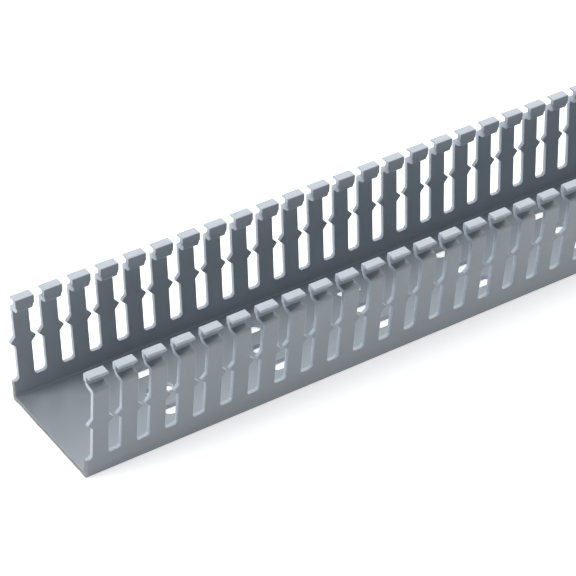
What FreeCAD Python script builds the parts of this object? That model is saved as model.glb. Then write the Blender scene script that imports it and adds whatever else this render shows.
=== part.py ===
# Slotted wire duct: the open base channel of a control cabinet wiring duct.
#
# It is one piece of rigid PVC. The channel is extruded, then the wire slots are punched through
# both side walls at once, and the mounting slots are punched through the floor.
# Millimetres. +X runs along the duct, +Y across it, +Z up. The origin is at the bottom centre.

import FreeCAD, Part
import math
import os
import re
import Sketcher

NODE = "duct_base"

# Driving dimensions
SIZES = {
    "length": 500,          # stock length
    "base_width": 56.4,     # over the walls at the very bottom
    "splay": 3.5,           # how far each wall leans out on its way up to the fold
    "wall": 2,              # side wall, measured across
    "floor_thick": 2,
    "height": 48.6,         # to the top of the fingers
    "head_height": 5.2,     # from the fold in the wall's outer face to the top of the fingers
    "fold_in": 4.1,         # width of the ledge that the cover's edge rests on
    "fold_rise": 0.4,       # how much the ledge climbs on its way in to the neck
    "lip_reach": 2.7,       # catch for the cover, outwards from the neck
    "lip_height": 1,
    "slot_pitch": 12.5,
    "slot_width": 5.4,
    "slot_floor": 9,        # bottom of the slots, above the underside
    "slot_chamfer": 1,      # the slot's bottom corners
    "first_slot": 0,        # from the sawn end to the middle of the first slot
    "nub_height": 26.7,     # middle of the pair of nubs that keep wires in the slot
    "nub_rise": 2.3,        # half of a nub's height
    "nub_gap": 1.1,         # clear width between the two tips
    "mouth_width": 4.2,     # clear width between two finger heads
    "mouth_climb": 0.8,     # from the fold up to where the slot starts to narrow to the mouth
    "mouth_rise": 1,
    "mount_pitch": 50,
    "first_mount": 50,      # from the sawn end to the first mounting slots
    "mount_length": 11.5,
    "mount_width": 5.2,
    "row_pitch": 12.7,      # between the rows of mounting slots, across the floor
}
MOUNT_ROWS = (-1, 0, 1)
OVERCUT = 5                 # how far a punch stands past the finger tops and the sawn ends
FOLD = "(height - head_height)"
MOUTH = f"({FOLD} + mouth_climb)"


def bound(formula):
    """Turn the names of driving dimensions in a formula into references to the sheet."""
    return re.sub(r"[a-z_]+", lambda word: f"sizes.{word[0]}" if word[0] in SIZES else word[0], formula)


def make_sheet(doc):
    """Give each driving dimension a cell of its own, with its name as the alias."""
    sheet = doc.addObject("Spreadsheet::Sheet", "sizes")
    for row, (name, value) in enumerate(SIZES.items(), start=1):
        sheet.set(f"A{row}", name)
        sheet.set(f"B{row}", str(value))
        sheet.setAlias(f"B{row}", name)
    doc.recompute()


def origin_item(body, role):
    """Find one of the body's own origin planes or axes."""
    return next(item for item in body.Origin.OriginFeatures if item.Role == role)


def new_sketch(body, name, plane):
    sketch = body.newObject("Sketcher::SketchObject", name)
    sketch.AttachmentSupport = [(origin_item(body, plane), "")]
    sketch.MapMode = "FlatFace"
    return sketch


def spot(sketch, across, up):
    """Work two formulas out to a point, where the drawing of an edge starts."""
    return FreeCAD.Vector(sketch.evalExpression(bound(across)), sketch.evalExpression(bound(up)), 0)


def pin(sketch, edge, end, across, up):
    """Hold a point of an edge at two formulas, measured from the sketch's origin."""
    for kind, formula in (("DistanceX", across), ("DistanceY", up)):
        value = sketch.evalExpression(bound(formula))
        number = sketch.addConstraint(Sketcher.Constraint(kind, -1, 1, edge, end, value))
        sketch.setExpression(f"Constraints[{number}]", bound(formula))


def draw_outline(sketch, corners):
    """Draw a closed outline of straight edges with each corner held by its formulas."""
    following = corners[1:] + corners[:1]
    first = sketch.GeometryCount
    edges = range(first, first + len(corners))
    for corner, target in zip(corners, following):
        sketch.addGeometry(Part.LineSegment(spot(sketch, *corner), spot(sketch, *target)), False)
    for edge, corner in zip(edges, corners):
        after = edge + 1 if edge < edges[-1] else first
        sketch.addConstraint(Sketcher.Constraint("Coincident", edge, 2, after, 1))
        pin(sketch, edge, 1, *corner)


def mirrored(half):
    """Complete an outline whose right half is listed from the bottom up."""
    return half + [(f"-({across})", up) for across, up in reversed(half)]


def draw_channel_section(sketch):
    """The U section: leaning walls, each folded in to a ledge, and a neck with a lip for the cover."""
    wall_top = "base_width / 2 + splay"
    neck = f"{wall_top} - fold_in"
    # The wall keeps its thickness round the fold, so its inner face turns this much lower.
    fold_drop = "wall * tan(45 deg - atan(fold_rise / fold_in) / 2)"
    lean_at_floor = f"splay * floor_thick / {FOLD}"
    outer = [
        ("base_width / 2", "0"),
        (wall_top, FOLD),
        (neck, f"{FOLD} + fold_rise"),
        (neck, "height - lip_height"),
        (f"{neck} + lip_reach", "height - lip_height"),
        (f"{neck} + lip_reach", "height"),
    ]
    inner = [
        (f"{neck} - wall", "height"),
        (f"{neck} - wall", f"{FOLD} + fold_rise - {fold_drop}"),
        (f"{wall_top} - wall", f"{FOLD} - {fold_drop}"),
        (f"base_width / 2 - wall + {lean_at_floor}", "floor_thick"),
    ]
    draw_outline(sketch, mirrored(outer + inner))


def draw_wire_slot(sketch):
    """One punched slot: chamfered foot, a pair of nubs half way up, and a narrow mouth."""
    middle = "first_slot - length / 2"
    half = [
        ("slot_width / 2 - slot_chamfer", "slot_floor"),
        ("slot_width / 2", "slot_floor + slot_chamfer"),
        ("slot_width / 2", "nub_height - nub_rise"),
        ("nub_gap / 2", "nub_height"),
        ("slot_width / 2", "nub_height + nub_rise"),
        ("slot_width / 2", MOUTH),
        ("mouth_width / 2", f"{MOUTH} + mouth_rise"),
        ("mouth_width / 2", f"height + {OVERCUT}"),
    ]
    draw_outline(sketch, [(f"{middle} + {across}", up) for across, up in mirrored(half)])


def draw_end_clearing(sketch, side, slot_middle):
    """What a saw cut inside a slot frees: the nubs and the head on the slot's outer side.

    The clearing reaches past the sawn end there, and is a sliver inside the mouth elsewhere.
    """
    sawn_end = f"{side} * length / 2"
    to_saw = f"abs({sawn_end} - ({slot_middle}))"
    reach = f"({to_saw} < slot_width / 2 ? slot_width / 2 + {OVERCUT} : nub_gap / 4)"
    edges = [slot_middle, f"{slot_middle} + {side} * {reach}"]
    top = f"height + {OVERCUT}"
    low = "slot_floor + slot_chamfer"
    draw_outline(sketch, [(edges[0], low), (edges[1], low), (edges[1], top), (edges[0], top)])


def draw_mounting_slot(sketch, row):
    """One slot with round ends in the floor, lengthwise, in the given row."""
    middle = "first_mount - length / 2"
    up = f"{row} * row_pitch"
    straight = "(mount_length - mount_width) / 2"
    radius = "mount_width / 2"
    ends = [f"{middle} - {straight}", f"{middle} + {straight}"]
    first = sketch.GeometryCount
    size = sketch.evalExpression(bound(radius))
    for end, start in zip(ends, (math.pi / 2, -math.pi / 2)):
        circle = Part.Circle(spot(sketch, end, up), FreeCAD.Vector(0, 0, 1), size)
        sketch.addGeometry(Part.ArcOfCircle(circle, start, start + math.pi), False)
    for side in (-1, 1):
        edge_up = f"{up} + {side} * {radius}"
        edge_ends = [spot(sketch, end, edge_up) for end in ends]
        sketch.addGeometry(Part.LineSegment(*edge_ends), False)
    left, right, lower, upper = range(first, first + 4)
    for line, line_end, arc, arc_end in ((lower, 1, left, 2), (lower, 2, right, 1),
                                         (upper, 1, left, 1), (upper, 2, right, 2)):
        sketch.addConstraint(Sketcher.Constraint("Tangent", line, line_end, arc, arc_end))
    for arc, end in zip((left, right), ends):
        pin(sketch, arc, 3, end, up)
    number = sketch.addConstraint(Sketcher.Constraint("Radius", left, size))
    sketch.setExpression(f"Constraints[{number}]", bound(radius))


def punch_through(body, sketch, name):
    pocket = body.newObject("PartDesign::Pocket", name)
    pocket.Profile = sketch
    pocket.SideType = "Symmetric"
    pocket.Type = "ThroughAll"
    return pocket


def repeat_along(body, feature, name, pitch, count):
    """Repeat a punched feature along the duct, at a pitch and a count given by formulas."""
    pattern = body.newObject("PartDesign::LinearPattern", name)
    pattern.Originals = [feature]
    pattern.Direction = (origin_item(body, "X_Axis"), [""])
    pattern.Mode = "Spacing"
    pattern.setExpression("Offset", bound(pitch))
    pattern.setExpression("Occurrences", bound(count))
    body.Tip = pattern
    return pattern


def make_duct(doc):
    body = doc.addObject("PartDesign::Body", NODE)
    body.Label = NODE

    # Extruded channel
    section = new_sketch(body, "channel_section", "YZ_Plane")
    draw_channel_section(section)
    channel = body.newObject("PartDesign::Pad", "channel")
    channel.Profile = section
    channel.SideType = "Symmetric"
    channel.setExpression("Length", bound("length"))

    # Wire slots, both walls at once
    slot_outline = new_sketch(body, "wire_slot_outline", "XZ_Plane")
    draw_wire_slot(slot_outline)
    slot = punch_through(body, slot_outline, "wire_slot")
    slot_count = "floor((length + slot_width / 2 - first_slot) / slot_pitch) + 1"
    slots = repeat_along(body, slot, "wire_slots", "slot_pitch", slot_count)

    # Sawn ends
    first_slot = "first_slot - length / 2"
    last_slot = f"{first_slot} + ({slot_count} - 1) * slot_pitch"
    clearing = new_sketch(body, "end_clearings", "XZ_Plane")
    draw_end_clearing(clearing, -1, first_slot)
    draw_end_clearing(clearing, 1, last_slot)
    punch_through(body, clearing, "cleared_ends")

    # Mounting slots in the floor
    mount_outline = new_sketch(body, "mounting_slot_outline", "XY_Plane")
    for row in MOUNT_ROWS:
        draw_mounting_slot(mount_outline, row)
    mount = punch_through(body, mount_outline, "mounting_slot")
    mount_count = "floor((length - first_mount - mount_length) / mount_pitch) + 1"
    mounts = repeat_along(body, mount, "mounting_slots", "mount_pitch", mount_count)

    doc.recompute()
    return body, [channel, slot, slots, mount, mounts]


def check(doc, body, steps):
    """Stop if an object failed, or if a punching step took nothing away."""
    for item in doc.Objects:
        faults = {"Invalid", "Error"} & set(item.State)
        if faults:
            raise RuntimeError(f"{item.Name}: {sorted(faults)}")
    if body.Shape.isNull() or not body.Shape.isValid() or len(body.Shape.Solids) != 1:
        raise RuntimeError(f"{body.Label}: the shape isn't one valid solid")
    volumes = [step.Shape.Volume for step in steps]
    for step, before, after in zip(steps[1:], volumes, volumes[1:]):
        if after >= before:
            raise RuntimeError(f"{step.Name} cut nothing")
    print(f"{body.Label}: {body.Shape.Volume / 1000:.2f} cm3, {len(body.Shape.Faces)} faces")


doc = FreeCAD.newDocument("slotted_wire_duct")
make_sheet(doc)
duct, steps = make_duct(doc)
check(doc, duct, steps)
os.makedirs("parts", exist_ok=True)
duct.Shape.exportStep(f"parts/{duct.Label}.step")
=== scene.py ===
# %% [markdown]
# # A slotted wire duct, from the imported solid to the finished plastic
#
# The real thing is one piece of rigid PVC. A die extrudes an open channel, a press punches the wire
# slots through both walls and the mounting slots through the floor, and a saw cuts the stock to
# length. Each of these tools leaves its own finish on the plastic. The imported part already has the
# shape at its real size, so this lesson is about what the tools left behind: rounded folds, edges
# that catch the light, a wavy saw cut, fingers that stand a little unevenly, and three finishes. A
# fourth material is a painted highlight on the heads of the fingers.
#
# Everything is in metres, in the part's own frame: +X runs along the duct, +Y across it, +Z up.

import math
import random

import bmesh
import bpy
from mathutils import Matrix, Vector, noise


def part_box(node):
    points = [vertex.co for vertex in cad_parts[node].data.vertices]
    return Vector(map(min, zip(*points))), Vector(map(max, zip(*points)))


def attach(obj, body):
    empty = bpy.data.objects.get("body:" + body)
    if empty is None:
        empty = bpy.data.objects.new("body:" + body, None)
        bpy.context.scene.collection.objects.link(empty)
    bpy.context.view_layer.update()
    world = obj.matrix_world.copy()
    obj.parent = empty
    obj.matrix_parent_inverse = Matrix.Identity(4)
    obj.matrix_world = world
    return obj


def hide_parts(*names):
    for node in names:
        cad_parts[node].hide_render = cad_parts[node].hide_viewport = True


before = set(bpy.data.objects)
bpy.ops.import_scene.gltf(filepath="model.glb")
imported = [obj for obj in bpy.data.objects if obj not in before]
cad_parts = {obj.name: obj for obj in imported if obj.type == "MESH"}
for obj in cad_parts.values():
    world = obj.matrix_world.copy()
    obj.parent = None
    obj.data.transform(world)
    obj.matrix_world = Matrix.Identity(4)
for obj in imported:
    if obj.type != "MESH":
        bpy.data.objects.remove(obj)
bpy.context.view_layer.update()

# %% [markdown]
# ## Sizes to work with
#
# A finish depends on where a face lies: a slot's side was sheared, the wall beside it was extruded.
# To tell them apart the script needs a few sizes of the duct. The overall ones are measured on the
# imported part, so they can't disagree with it. The rest are the duct's own numbers, written once.

# %% Sizes of the duct
MM = 0.001
low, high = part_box("duct_base")
LENGTH = high.x - low.x
HALF_WIDTH = (high.y - low.y) / 2
HEIGHT = high.z - low.z

FLOOR_THICK = 2 * MM
WALL = 2 * MM
HALF_BASE = 28.2 * MM
FOLD = HEIGHT - 5.2 * MM
FOLD_IN = 4.1 * MM
FOLD_RISE = 0.4 * MM
LIP_REACH = 2.7 * MM
LIP_HEIGHT = 1 * MM
NECK = HALF_WIDTH - FOLD_IN
SLOT_PITCH = 12.5 * MM
SLOT_FLOOR = 9 * MM
SLOT_CHAMFER = 1 * MM
NEAR = 0.03 * MM
print(f"duct: {LENGTH / MM:.1f} x {2 * HALF_WIDTH / MM:.1f} x {HEIGHT / MM:.1f} mm")

# %% [markdown]
# ## Camera
#
# The picture looks down on the sawn end from the left, through a long lens about a metre away. A
# camera can be set by eye, but these angles were found by matching corners of the slots one by one,
# and then the outlines of the walls as a whole. The helper `direction` turns an azimuth and an
# elevation into an arrow, for the camera and the lamps.

# %% Camera
PICTURE_SIDE = 576
FOCAL_PIXELS = 2459.3
SENSOR_WIDTH = 36
CAMERA_AZIMUTH = math.radians(-34.88)
CAMERA_ELEVATION = math.radians(36.94)
CAMERA_ROLL = math.radians(1.27)
CAMERA_DISTANCE = 994.4 * MM
AIM = Vector((-106.25, -9.45, 15.625)) * MM
AIM_RIGHT = -32.68 * MM
AIM_UP = 3.08 * MM


def direction(azimuth, elevation):
    """An arrow from the duct to a place round it. Azimuth 0 is the front, towards -Y."""
    flat = math.cos(elevation)
    return Vector((math.sin(azimuth) * flat, -math.cos(azimuth) * flat, math.sin(elevation)))


def add_camera():
    back = direction(CAMERA_AZIMUTH, CAMERA_ELEVATION)
    turn = back.to_track_quat("Z", "Y")
    right = turn @ Vector((math.cos(CAMERA_ROLL), math.sin(CAMERA_ROLL), 0))
    up = turn @ Vector((-math.sin(CAMERA_ROLL), math.cos(CAMERA_ROLL), 0))
    lens = bpy.data.cameras.new("camera")
    lens.sensor_width = SENSOR_WIDTH
    lens.lens = SENSOR_WIDTH * FOCAL_PIXELS / PICTURE_SIDE
    lens.clip_start = 10 * MM
    camera = bpy.data.objects.new("camera", lens)
    camera.location = AIM + back * CAMERA_DISTANCE + right * AIM_RIGHT + up * AIM_UP
    camera.rotation_euler = turn.to_euler()
    camera.rotation_euler.rotate_axis("Z", CAMERA_ROLL)
    bpy.context.collection.objects.link(camera)
    bpy.context.scene.camera = camera
    print(f"camera: {lens.lens:.0f} mm lens at {[round(value, 3) for value in camera.location]}")


add_camera()

# %% [markdown]
# ## Pattern helpers
#
# All four finishes are the same plastic, so they share a few small helpers. Each texture reads
# Object coordinates through a Mapping node. Dividing by a size in metres means that the grain is
# written in real millimetres, and giving each axis its own size draws the grain out into lines.

# %% Pattern helpers
def object_pattern(tree, node_type, grain, centre=(0, 0, 0)):
    """A texture in the piece's own coordinates, whose grain has the given size on each axis."""
    place = tree.nodes.new("ShaderNodeTexCoord")
    mapping = tree.nodes.new("ShaderNodeMapping")
    mapping.vector_type = "TEXTURE"
    mapping.inputs["Location"].default_value = centre
    mapping.inputs["Scale"].default_value = grain
    texture = tree.nodes.new(node_type)
    texture.inputs["Scale"].default_value = 1
    tree.links.new(place.outputs["Object"], mapping.inputs["Vector"])
    tree.links.new(mapping.outputs["Vector"], texture.inputs["Vector"])
    return texture


def grain_noise(tree, grain, detail=2):
    texture = object_pattern(tree, "ShaderNodeTexNoise", grain)
    texture.inputs["Detail"].default_value = detail
    return texture.outputs["Fac"]


def spread(tree, value, low_end, high_end):
    """Turn a noise, which mostly lies between 0.3 and 0.7, into a value between two ends."""
    scale = tree.nodes.new("ShaderNodeMapRange")
    scale.inputs["From Min"].default_value = 0.3
    scale.inputs["From Max"].default_value = 0.7
    scale.inputs["To Min"].default_value = low_end
    scale.inputs["To Max"].default_value = high_end
    tree.links.new(value, scale.inputs["Value"])
    return scale.outputs["Result"]


def weigh(tree, parts):
    """Add up several textures, each times its own height."""
    total = None
    for value, height in parts:
        step = tree.nodes.new("ShaderNodeMath")
        step.operation = "MULTIPLY_ADD"
        step.inputs[1].default_value = height
        step.inputs[2].default_value = 0
        tree.links.new(value, step.inputs[0])
        if total:
            tree.links.new(total, step.inputs[2])
        total = step.outputs["Value"]
    return total


# %% [markdown]
# ## Shader helpers
#
# A pattern can drive three things: the tone, the roughness and the relief. Tone and relief have
# a helper each here. Three of the materials start from one plain tone of the plastic, a bluish
# grey, and only make it darker or paler, so that they look like one material. Two of them are the
# plastic in two states, and the third is a painted highlight on the heads.

# %% Shader helpers
PVC = Vector((0.322, 0.361, 0.405))
PVC_IOR = 1.53


def plastic(name):
    """A new material of plain PVC, with its node tree and its shader."""
    material = bpy.data.materials.new(name)
    material.use_nodes = True
    shader = material.node_tree.nodes["Principled BSDF"]
    shader.inputs["IOR"].default_value = PVC_IOR
    return material, material.node_tree, shader


def tint(tree, shader, value, dark, light):
    """Blend the base colour between two tones of the plastic."""
    blend = tree.nodes.new("ShaderNodeMix")
    blend.data_type = "RGBA"
    blend.inputs["A"].default_value = (*dark, 1)
    blend.inputs["B"].default_value = (*light, 1)
    tree.links.new(value, blend.inputs["Factor"])
    tree.links.new(blend.outputs["Result"], shader.inputs["Base Color"])


def relief(tree, shader, height, depth):
    """Bend the shading as if the height rose by up to the depth."""
    bump = tree.nodes.new("ShaderNodeBump")
    bump.inputs["Strength"].default_value = 1
    bump.inputs["Distance"].default_value = depth
    tree.links.new(height, bump.inputs["Height"])
    tree.links.new(bump.outputs["Normal"], shader.inputs["Normal"])


print("plain tone of the plastic:", [round(value, 3) for value in PVC])

# %% [markdown]
# ## Extruded skin
#
# The walls and the floor slid out of a polished die. That leaves a satin face with very fine lines
# along the duct, and a slightly cloudy tone where the melt ran unevenly. A single roughness would
# look like paint, so the roughness follows the clouds, and the die lines are a noise drawn out
# along X: 90 mm long and half a millimetre wide.

# %% Extruded skin
def extruded_skin():
    material, tree, shader = plastic("extruded_skin")
    clouds = grain_noise(tree, (34 * MM, 16 * MM, 16 * MM), detail=3)
    die_lines = grain_noise(tree, (90 * MM, 0.5 * MM, 0.5 * MM), detail=1)
    grain = grain_noise(tree, (0.9 * MM, 0.7 * MM, 0.7 * MM), detail=2)
    tone = weigh(tree, [(clouds, 0.7), (die_lines, 0.3)])
    tint(tree, shader, spread(tree, tone, 0, 1), PVC * 0.955, PVC * 1.045)
    rough = weigh(tree, [(clouds, 0.6), (grain, 0.4)])
    tree.links.new(spread(tree, rough, 0.38, 0.48), shader.inputs["Roughness"])
    relief(tree, shader, weigh(tree, [(die_lines, 0.45), (grain, 0.55)]), 0.012 * MM)
    return material


# %% [markdown]
# ## Punched edges
#
# A punch tears the last part of its way through the wall, so the sides of the slots are paler and
# duller than the skin, with tiny scores in the direction of the stroke. The same noise does it,
# drawn out along Y this time.

# %% Punched edges
def punched_edges():
    material, tree, shader = plastic("punched_edges")
    scores = grain_noise(tree, (0.35 * MM, 4 * MM, 0.35 * MM), detail=2)
    tears = grain_noise(tree, (1.6 * MM, 0.8 * MM, 1.6 * MM), detail=3)
    tint(tree, shader, spread(tree, tears, 0, 1), PVC * 1.42, PVC * 1.62)
    tree.links.new(spread(tree, scores, 0.38, 0.52), shader.inputs["Roughness"])
    relief(tree, shader, weigh(tree, [(scores, 0.5), (tears, 0.5)]), 0.03 * MM)
    return material


# %% [markdown]
# ## Rubbed heads
# ## Painted highlight on the heads
#
# The tops of the heads and the outer faces of the lips get a painted highlight: a paler tone of the
# plastic, and a little less roughness. Short streaks lie along the duct, so the noise is drawn out
# along X again, but only by a few millimetres.

# %% Painted highlight on the heads
def painted_highlight_heads():
    material, tree, shader = plastic("painted_highlight_heads")
    head_streaks = grain_noise(tree, (5 * MM, 0.4 * MM, 0.4 * MM), detail=2)
    # Painted highlight: the heads are given a tone paler than the plain plastic.
    tint(tree, shader, spread(tree, head_streaks, 0, 1), PVC * 1.4, PVC * 1.6)
    tree.links.new(spread(tree, head_streaks, 0.42, 0.3), shader.inputs["Roughness"])
    relief(tree, shader, head_streaks, 0.015 * MM)
    return material


# %% [markdown]
# ## Sawn ends
#
# The blade leaves arcs across the cut and a frosted, crumbly face. A Wave texture in rings gives
# the arcs when its centre lies where the blade's axle was, well outside the section. Noise
# breaks them up, because no two teeth cut alike. Frosted plastic scatters all colours, so this
# finish has a tone of its own, a grey with less blue.

# %% Sawn ends
SAWN_TONE = Vector((0.262, 0.268, 0.276))


def sawn_ends():
    material, tree, shader = plastic("sawn_ends")
    tooth_step = 0.9 * MM
    axle = (0, -90 * MM, 150 * MM)
    arcs = object_pattern(tree, "ShaderNodeTexWave", (tooth_step, tooth_step, tooth_step), axle)
    arcs.wave_type = "RINGS"
    arcs.rings_direction = "X"
    arcs.inputs["Distortion"].default_value = 2.5
    arcs.inputs["Detail"].default_value = 3
    crumbs = grain_noise(tree, (0.5 * MM, 0.5 * MM, 0.5 * MM), detail=4)
    patches = grain_noise(tree, (4 * MM, 4 * MM, 4 * MM), detail=2)
    tint(tree, shader, spread(tree, patches, 0, 1), SAWN_TONE * 0.85, SAWN_TONE * 1.15)
    tree.links.new(spread(tree, crumbs, 0.65, 0.85), shader.inputs["Roughness"])
    relief(tree, shader, weigh(tree, [(arcs.outputs["Fac"], 0.35), (crumbs, 0.65)]), 0.09 * MM)
    return material


# Three finishes and the painted highlight on the heads, in the order of their numbers.
FINISHES = [extruded_skin(), punched_edges(), painted_highlight_heads(), sawn_ends()]
SKIN, PUNCHED, PAINTED_HIGHLIGHT, SAWN = range(len(FINISHES))
print("finishes:", [material.name for material in FINISHES])

# %% [markdown]
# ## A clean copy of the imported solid
#
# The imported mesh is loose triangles, which no bevel can work on. Merging the doubled corners joins
# them, and a limited dissolve takes away every edge that lies flat. Two kinds of cuts then divide
# the long faces again where they are needed: one along the foot of the fingers, and one across
# the duct in the middle of each slot, so that every finger has faces of its own.

# %% Clean copy
SLOT_COUNT = round(LENGTH / SLOT_PITCH)
FINGER_FOOT = SLOT_FLOOR + SLOT_CHAMFER


def clean_copy():
    work = bmesh.new()
    work.from_mesh(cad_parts["duct_base"].data)
    bmesh.ops.remove_doubles(work, verts=work.verts, dist=NEAR / 10)
    bmesh.ops.dissolve_limit(work, angle_limit=math.radians(1), verts=work.verts, edges=work.edges)
    return work


def cut_flat(work, point, normal):
    everything = work.verts[:] + work.edges[:] + work.faces[:]
    bmesh.ops.bisect_plane(work, geom=everything, dist=NEAR / 10, plane_co=point, plane_no=normal)


def cut_between_fingers(work):
    cut_flat(work, (0, 0, FINGER_FOOT), (0, 0, 1))
    for number in range(1, SLOT_COUNT):
        cut_flat(work, (low.x + number * SLOT_PITCH, 0, 0), (1, 0, 0))


body = clean_copy()
print("merged:", len(body.verts), "corners,", len(body.faces), "faces")
cut_between_fingers(body)
print("cut between the fingers:", len(body.verts), "corners,", len(body.faces), "faces")

# %% [markdown]
# ## Corners for the saw cut
#
# The saw left a wavy outline, and a mesh can only wave where it has corners to move. The outline
# of both ends gets one every millimetre and a half. They come before the roundings, so that the
# rounded edges get them too.

# %% Corners for the saw cut
SAW_STEP = 1.5 * MM


def is_sawn(corner):
    return abs(corner.co.x) > LENGTH / 2 - NEAR


def divide_sawn_outline(work):
    outline = [edge for edge in work.edges if all(is_sawn(corner) for corner in edge.verts)]
    for edge in outline:
        cuts = int(edge.calc_length() / SAW_STEP)
        if cuts:
            bmesh.ops.bisect_edges(work, edges=[edge], cuts=cuts)


divide_sawn_outline(body)
print("corners on the two sawn ends:", sum(is_sawn(corner) for corner in body.verts))

# %% [markdown]
# ## Rounded folds
#
# Molten plastic doesn't fill a sharp corner, so every edge that the die made is round: widely at
# the fold where the wall turns in, and tightly at the lip that holds the cover. Those edges all
# run along the duct. Each one is found by its place in the section, across and up, and gets its
# own radius. The inner skin runs parallel to the outer one, so its corners need a little geometry.
#
# A radius may not reach the next corner, or the mesh folds over itself. That is why the wide
# rounding under the neck stops at 2.1 mm, just below the place where the slots narrow.

# %% Places and radii of the folds
ledge_slope = math.atan2(FOLD_RISE, FOLD_IN)
fold_drop = WALL * math.tan(math.radians(45) - ledge_slope / 2)
floor_lean = (HALF_WIDTH - HALF_BASE) * FLOOR_THICK / FOLD
FOLD_SEGMENTS = 4
EXTRUDED_CORNERS = {
    "outer fold": (HALF_WIDTH, FOLD, 1.5 * MM),
    "inner fold": (HALF_WIDTH - WALL, FOLD - fold_drop, 0.7 * MM),
    "ledge root": (NECK, FOLD + FOLD_RISE, 0.3 * MM),
    "under the neck": (NECK - WALL, FOLD + FOLD_RISE - fold_drop, 2.1 * MM),
    "lip root": (NECK, HEIGHT - LIP_HEIGHT, 0.25 * MM),
    "lip edge": (NECK + LIP_REACH, HEIGHT - LIP_HEIGHT, 0.25 * MM),
    "lip top": (NECK + LIP_REACH, HEIGHT, 0.7 * MM),
    "head top": (NECK - WALL, HEIGHT, 0.45 * MM),
    "floor corner": (HALF_BASE - WALL + floor_lean, FLOOR_THICK, 0.6 * MM),
    "bottom corner": (HALF_BASE, 0, 0.7 * MM),
}
print(len(EXTRUDED_CORNERS), "corners of the section to round, on each wall")


# %% Rounded folds
def lengthwise_edges(work, across, up):
    """Edges along the duct at one place of the section, on both walls."""
    def is_there(corner):
        return abs(abs(corner.co.y) - across) < NEAR and abs(corner.co.z - up) < NEAR
    return [edge for edge in work.edges if all(is_there(corner) for corner in edge.verts)]


def round_off(work, edges, radius, segments):
    """Bevel without clamping, because one short edge would make every radius small."""
    bmesh.ops.bevel(work, geom=edges, offset=radius, segments=segments, profile=0.5, affect="EDGES",
                    material=-1, clamp_overlap=False)


for name, (across, up, radius) in EXTRUDED_CORNERS.items():
    edges = lengthwise_edges(body, across, up)
    round_off(body, edges, radius, FOLD_SEGMENTS)
    print(f"{name}: {len(edges)} edges rounded to {radius / MM:.2f} mm")

# %% [markdown]
# ## Punched and sawn edges
#
# What is still sharp was cut by a tool. A cut edge is never a perfect corner either: it is broken
# by a fifth of a millimetre, and that thin strip is what draws a bright line round each slot. The
# shoulders where the slots narrow turn by only 31 degrees, so they are left alone. Tiny leftover
# edges are dissolved afterwards, and the count of open edges shows that the skin is closed.

# %% Punched and sawn edges
BROKEN_EDGE = 0.2 * MM
BROKEN_SEGMENTS = 2
SHARP = math.radians(35)


def sharp_edges(work):
    return [edge for edge in work.edges if edge.is_manifold and edge.calc_face_angle() > SHARP]


edges = sharp_edges(body)
round_off(body, edges, BROKEN_EDGE, BROKEN_SEGMENTS)
bmesh.ops.dissolve_degenerate(body, dist=NEAR / 10, edges=body.edges)
still_open = sum(not edge.is_manifold for edge in body.edges)
print(len(edges), "cut edges broken;", len(body.faces), "faces;", still_open, "open edges")

# %% [markdown]
# ## Bent fingers
#
# The fingers were bent a little by punching, packing and handling, each by its own amount, so
# their heads don't stand in one perfect line. They lean only inwards, because the part may not
# grow past its real width. The random numbers have a seed, so each run bends alike.

# %% Bent fingers
MOST_LEAN = math.radians(0.4)
random.seed(12)
places = [(number, side) for number in range(SLOT_COUNT) for side in (-1, 1)]
lean_of = {place: random.random() * MOST_LEAN for place in places}


def bend_fingers(work):
    for corner in work.verts:
        if corner.co.z > FINGER_FOOT:
            number = min(int((corner.co.x - low.x) / SLOT_PITCH), SLOT_COUNT - 1)
            side = 1 if corner.co.y > 0 else -1
            corner.co.y -= side * (corner.co.z - FINGER_FOOT) * math.tan(lean_of[number, side])


bend_fingers(body)
print(f"{len(places)} fingers bent by up to {math.degrees(max(lean_of.values())):.2f} degrees")

# %% [markdown]
# ## Wavy cut
#
# The hand-held saw wandered, so the cut ends wave in and out by a few tenths of a millimetre. A
# slow noise makes the long waves and a quick one the short ones. The saw only ever moves into the
# duct, and a last step brings back any corner that the rounding left a hair outside the real size.

# %% Wavy cut
SAW_WANDER = 0.4 * MM
SAW_WAVE = 6 * MM


def wander(corner):
    """How far the saw strayed into the duct here, from 0 to SAW_WANDER."""
    slow = noise.noise(corner.co / SAW_WAVE)
    quick = noise.noise(corner.co / (SAW_WAVE / 4))
    share = 0.5 + 0.7 * slow + 0.3 * quick
    return SAW_WANDER * min(max(share, 0), 1)


def wave_sawn_ends(work):
    for corner in work.verts:
        if abs(corner.co.x) > LENGTH / 2 - 2 * BROKEN_EDGE:
            corner.co.x -= math.copysign(wander(corner), corner.co.x)


def keep_inside(work):
    """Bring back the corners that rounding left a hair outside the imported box."""
    for corner in work.verts:
        corner.co = [min(max(value, least), most) for value, least, most in zip(corner.co, low, high)]


wave_sawn_ends(body)
keep_inside(body)
print(f"the saw wandered by up to {SAW_WANDER / MM:.1f} mm")

# %% [markdown]
# ## Which tool made which face, and where the highlight is painted
#
# The finishes could be painted by hand, but the way a face looks is enough: a face that looks along
# the duct was punched, or sawn if it lies at an end. Two more were punched though they look
# another way: the foot of each wire slot, and the rims of the slots in the floor. The heads get the
# painted highlight where they look up or outwards.
#
# A normal's part along an axis runs from 0, side on, to 1, straight that way. The limits below
# are such parts, so a face on a rounding goes to the finish that it leans towards.

# %% Finish of each face
SAWN_FROM = 0.6
PUNCHED_FROM = 0.25
LEVEL_FROM = 0.7
FLAT_FROM = 0.9
OUTWARD_FROM = 0.3


def is_cut_at_the_end(middle, normal):
    return abs(middle.x) > LENGTH / 2 - 3 * BROKEN_EDGE and abs(normal.x) > SAWN_FROM


def is_slot_foot(middle, normal):
    return abs(middle.z - SLOT_FLOOR) < BROKEN_EDGE and abs(normal.z) > LEVEL_FROM


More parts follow.
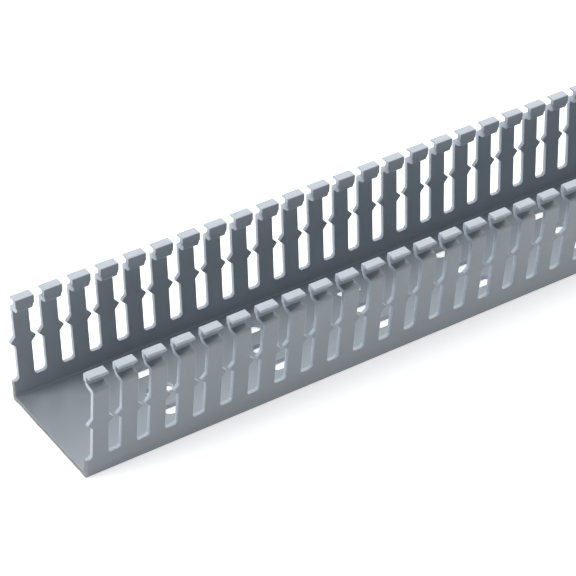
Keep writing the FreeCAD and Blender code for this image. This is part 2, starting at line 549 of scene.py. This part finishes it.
def is_floor_rim(middle, normal):
    in_the_floor = middle.z < FLOOR_THICK and abs(middle.y) < HALF_BASE - 2 * WALL
    return in_the_floor and abs(normal.z) < FLAT_FROM


# The faces of a head that get the painted highlight: those that look up or outwards.
def gets_painted_highlight(middle, normal):
    outward = normal.y * math.copysign(1, middle.y)
    on_the_head = middle.z > HEIGHT - LIP_HEIGHT - NEAR
    return on_the_head and (outward > OUTWARD_FROM or normal.z > LEVEL_FROM)


def finish_of(face):
    middle, normal = face.calc_center_median(), face.normal
    if is_cut_at_the_end(middle, normal):
        return SAWN
    looks_along = abs(normal.x) > PUNCHED_FROM
    if looks_along or is_slot_foot(middle, normal) or is_floor_rim(middle, normal):
        return PUNCHED
    # Up- and outward-facing faces of the heads get the painted highlight.
    if gets_painted_highlight(middle, normal):
        return PAINTED_HIGHLIGHT
    return SKIN


def finish_faces(work):
    work.normal_update()
    for face in work.faces:
        face.material_index = finish_of(face)
        face.smooth = True


finish_faces(body)
counts = [sum(face.material_index == number for face in body.faces) for number in range(len(FINISHES))]
print("faces with each finish:", dict(zip([material.name for material in FINISHES], counts)))

# %% [markdown]
# ## The finished piece
#
# All faces are shaded smooth, which would make the flat walls look swollen. A Weighted Normal
# modifier cures that: at each corner the larger faces count for more, so the walls stay flat and
# only the narrow strips between them turn.

# %% Finished piece
def finished_duct(work):
    mesh = bpy.data.meshes.new("wire_duct")
    work.to_mesh(mesh)
    work.free()
    for material in FINISHES:
        mesh.materials.append(material)
    piece = bpy.data.objects.new("wire_duct", mesh)
    bpy.context.collection.objects.link(piece)
    flat_walls = piece.modifiers.new("flat_walls", "WEIGHTED_NORMAL")
    flat_walls.mode = "FACE_AREA"
    flat_walls.keep_sharp = False
    mesh.calc_loop_triangles()
    print("duct:", len(mesh.loop_triangles), "triangles")
    return piece


duct = finished_duct(body)
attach(duct, "root")
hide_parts("duct_base")

# %% [markdown]
# ## Seen without lighting
#
# The table and the room have to look plain white, but more light would also bleach the duct. A
# Light Path node tells why a ray came: straight from the camera, mirrored or let through by a
# surface, or to gather light. A glow that answers all but the last is seen, also in reflections,
# and sheds no light on what stands near it.

# %% Rays that show a thing
def shown_directly(tree):
    """1 for the camera's rays and for rays that a surface mirrors or lets through, else 0."""
    path = tree.nodes.new("ShaderNodeLightPath")
    shown = path.outputs["Is Camera Ray"]
    for ray in ("Is Glossy Ray", "Is Transmission Ray"):
        either = tree.nodes.new("ShaderNodeMath")
        either.operation = "MAXIMUM"
        tree.links.new(shown, either.inputs[0])
        tree.links.new(path.outputs[ray], either.inputs[1])
        shown = either.outputs["Value"]
    return shown


# %% [markdown]
# ## White table
#
# The duct lies on a white table that bounces light up at its front wall. Its own colour is a
# little under white, as paint is, and the glow makes up the rest for the camera. A trace of the
# soft shadow stays. The table lies a hair below the duct, because two faces in one place would
# show through each other.

# %% White table
TABLE_REACH = 1.6
TABLE_WHITE = 0.9
TABLE_GLOW = 0.62


def table_finish():
    material = bpy.data.materials.new("white_table")
    material.use_nodes = True
    tree = material.node_tree
    shader = tree.nodes["Principled BSDF"]
    shader.inputs["Base Color"].default_value = (TABLE_WHITE, TABLE_WHITE, TABLE_WHITE, 1)
    shader.inputs["Roughness"].default_value = 0.9
    shader.inputs["Emission Color"].default_value = (1, 1, 1, 1)
    glow = tree.nodes.new("ShaderNodeMath")
    glow.operation = "MULTIPLY"
    glow.inputs[1].default_value = TABLE_GLOW
    tree.links.new(shown_directly(tree), glow.inputs[0])
    tree.links.new(glow.outputs["Value"], shader.inputs["Emission Strength"])
    return material


def add_table():
    work = bmesh.new()
    bmesh.ops.create_grid(work, x_segments=1, y_segments=1, size=TABLE_REACH)
    mesh = bpy.data.meshes.new("table")
    work.to_mesh(mesh)
    work.free()
    mesh.materials.append(table_finish())
    table = bpy.data.objects.new("table", mesh)
    table.location.z = -NEAR
    bpy.context.collection.objects.link(table)
    print(f"table: {2 * TABLE_REACH} m wide, glow {TABLE_GLOW}")


add_table()

# %% [markdown]
# ## Room
#
# The world does two jobs. To the camera, and in reflections, it is plain white, as the far wall of
# a studio is. To every other ray it is almost dark, and only lifts the deepest shadows.

# %% Room
ROOM_LIGHT = 0.01


def add_room():
    world = bpy.data.worlds.new("studio")
    bpy.context.scene.world = world
    world.use_nodes = True
    tree = world.node_tree
    room = tree.nodes["Background"]
    room.inputs["Color"].default_value = (1, 1, 1, 1)
    room.inputs["Strength"].default_value = ROOM_LIGHT
    white = tree.nodes.new("ShaderNodeBackground")
    white.inputs["Color"].default_value = (1, 1, 1, 1)
    white.inputs["Strength"].default_value = 1
    choose = tree.nodes.new("ShaderNodeMixShader")
    tree.links.new(shown_directly(tree), choose.inputs["Fac"])
    tree.links.new(room.outputs["Background"], choose.inputs[1])
    tree.links.new(white.outputs["Background"], choose.inputs[2])
    tree.links.new(choose.outputs["Shader"], tree.nodes["World Output"].inputs["Surface"])
    print(f"room: white where it is seen, light {ROOM_LIGHT}")


add_room()

# %% [markdown]
# ## Softboxes
#
# The tops of the fingers are bright and the inside of the far wall is dark, so the main light
# stands behind the duct, to the right, and a weaker one hangs over it. The sides of the slots that
# face the sawn end are bright too, and only a light on the left reaches those. Two low ones in
# front lift the near wall. The stronger of them grazes it, so that little light slips through the
# slots to the far wall. The powers started from renders of each lamp alone: added up in the right
# shares, those pictures came near to the tones wanted.

# %% Softboxes
LIT_PLACE = Vector((-100, 0, 0)) * MM
SOFTBOXES = {
    "back": dict(azimuth=150, elevation=40, distance=1.6, width=2.4, height=1.4, power=25.5),
    "top": dict(azimuth=180, elevation=82, distance=1.6, width=1.2, height=0.9, power=4.5),
    "left": dict(azimuth=-105, elevation=25, distance=1.5, width=0.8, height=0.8, power=13.8),
    "front_left": dict(azimuth=-25, elevation=5, distance=1.8, width=1.2, height=0.3, power=3.4),
    "front_right": dict(azimuth=62, elevation=4, distance=1.8, width=1.2, height=0.25, power=12.5),
}


def add_softbox(name, azimuth, elevation, distance, width, height, power):
    lamp = bpy.data.lights.new(name, "AREA")
    lamp.shape = "RECTANGLE"
    lamp.size, lamp.size_y = width, height
    lamp.energy = power
    box = bpy.data.objects.new(name, lamp)
    towards = direction(math.radians(azimuth), math.radians(elevation))
    box.location = LIT_PLACE + towards * distance
    box.rotation_euler = towards.to_track_quat("Z", "Y").to_euler()
    bpy.context.collection.objects.link(box)
    print(f"softbox {name}: {power} W, {distance} m away")


for name, settings in SOFTBOXES.items():
    add_softbox(name, **settings)

# %% [markdown]
# ## View transform
#
# Blender's usual AgX view softens and greys bright colours, which suits a landscape. A product on
# white should keep the tones as they are written, so the view is set to Standard.

# %% View transform
view = bpy.context.scene.view_settings
view.view_transform = "Standard"
print("view transform:", view.view_transform)
